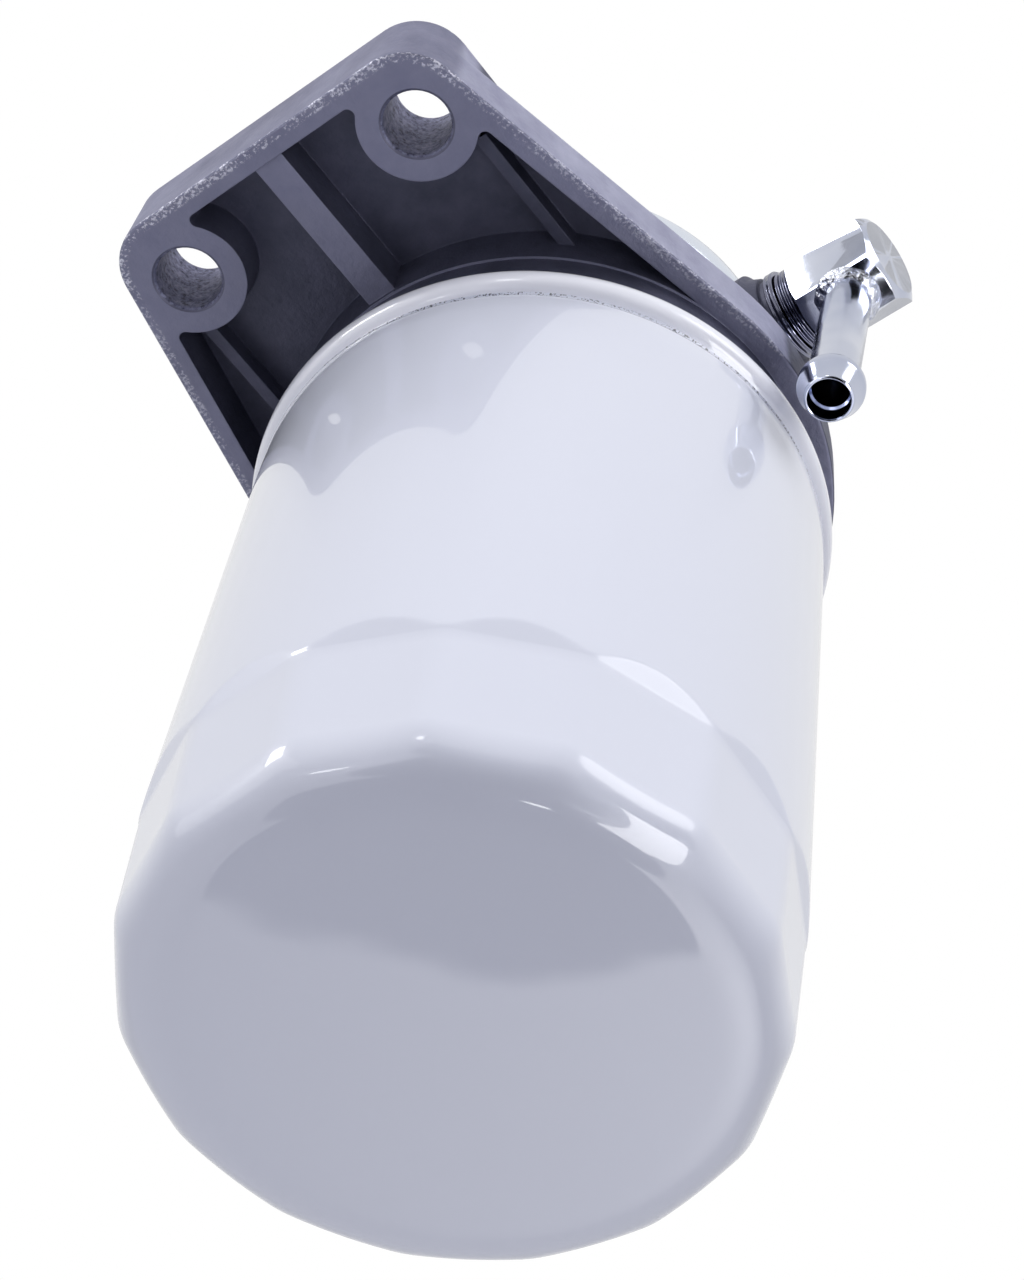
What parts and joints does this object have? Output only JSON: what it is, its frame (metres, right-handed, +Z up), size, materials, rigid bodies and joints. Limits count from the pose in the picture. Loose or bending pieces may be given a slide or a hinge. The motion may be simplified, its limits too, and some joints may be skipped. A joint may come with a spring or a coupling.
{
  "type": "fuel filter assembly",
  "caption": "Spin-on fuel filter canister under a die-cast two-bolt head with two hexagonal hose elbows, a hand priming pump and a bleed screw on top.",
  "frame": {"origin": "midway between the two flange holes, on the flange's upper face that meets the engine bracket", "axes": "+Z up along the filter's axis, away from the canister; the flange points to -Y from the filter; the inlet elbow is on +X and the outlet elbow on -X"},
  "size_m": [0.1098, 0.1074, 0.1776],
  "materials": {
    "cast_aluminium": "as-cast, matt, with rubbed edges",
    "white_enamel": "gloss white baked enamel",
    "bright_zinc": "bright zinc plate",
    "plain_steel": "bare steel",
    "spring_steel": "bright spring wire",
    "black_rubber": "moulded nitrile rubber",
    "filter_paper": "resin-set pleated paper",
    "copper": "soft annealed copper",
    "brass": "turned brass",
    "black_plastic": "moulded black nylon"
  },
  "bodies": {
    "head": {"filter_head": "cast_aluminium", "threaded_stud": "plain_steel", "inlet_elbow": "bright_zinc", "inlet_hose_pipe": "bright_zinc", "inlet_washer": "bright_zinc", "outlet_elbow": "bright_zinc", "outlet_hose_pipe": "bright_zinc", "outlet_washer": "bright_zinc", "pump_base": "bright_zinc", "pump_base_screws": "bright_zinc", "pump_diaphragm": "black_rubber", "pump_cover": "bright_zinc", "return_spring": "spring_steel", "suction_valve_seat": "brass", "suction_valve_spring": "spring_steel", "delivery_valve_seat": "brass", "delivery_valve_spring": "spring_steel"},
    "gasket": {"sealing_gasket": "black_rubber"},
    "canister": {"canister_shell": "white_enamel", "gasket_retainer": "plain_steel", "tapping_plate": "plain_steel", "pleated_element": "filter_paper", "centre_tube": "plain_steel", "upper_end_cap": "plain_steel", "lower_end_cap": "plain_steel", "element_grommet": "black_rubber", "element_spring": "spring_steel"},
    "plunger": {"pump_knob": "black_plastic", "plunger_rod": "plain_steel", "upper_diaphragm_plate": "plain_steel", "lower_diaphragm_plate": "plain_steel"},
    "suction_valve": {"suction_valve_disc": "black_rubber"},
    "delivery_valve": {"delivery_valve_disc": "black_rubber"},
    "bleed_seal": {"bleed_washer": "copper"},
    "bleed_plug": {"bleed_screw": "bright_zinc"}
  },
  "joints": [
    {"name": "canister_drop", "type": "slide", "parent": "head", "child": "gasket", "axis": [0, 0, -1], "range_m": [0, 0.012]},
    {"name": "canister_turn", "type": "hinge", "parent": "gasket", "child": "canister", "pos_m": [0, 0.0559, -0.0224], "axis": [0, 0, -1], "range_deg": [0, 2880]},
    {"name": "prime_stroke", "type": "slide", "parent": "head", "child": "plunger", "axis": [0, 0, -1], "range_m": [0, 0.008], "stiffness_N_per_m": 600, "springref_m": -0.004, "deforming": ["return_spring", "pump_diaphragm"]},
    {"name": "suction_valve_lift", "type": "slide", "parent": "head", "child": "suction_valve", "axis": [0, 0, 1], "range_m": [0, 0.0012], "stiffness_N_per_m": 40, "springref_m": -0.002, "deforming": ["suction_valve_spring"]},
    {"name": "delivery_valve_drop", "type": "slide", "parent": "head", "child": "delivery_valve", "axis": [0, 0, -1], "range_m": [0, 0.0012], "stiffness_N_per_m": 40, "springref_m": -0.002, "deforming": ["delivery_valve_spring"]},
    {"name": "bleed_rise", "type": "slide", "parent": "head", "child": "bleed_seal", "axis": [0, 0, 1], "range_m": [0, 0.002]},
    {"name": "bleed_turn", "type": "hinge", "parent": "bleed_seal", "child": "bleed_plug", "pos_m": [0, 0.0909, 0.0018], "axis": [0, 0, 1], "range_deg": [0, 720]}
  ],
  "couplings": [
    {"joint": "canister_turn", "follows": "canister_drop", "rad_per_m": 4188.8},
    {"joint": "bleed_turn", "follows": "bleed_rise", "rad_per_m": 6283.2}
  ]
}
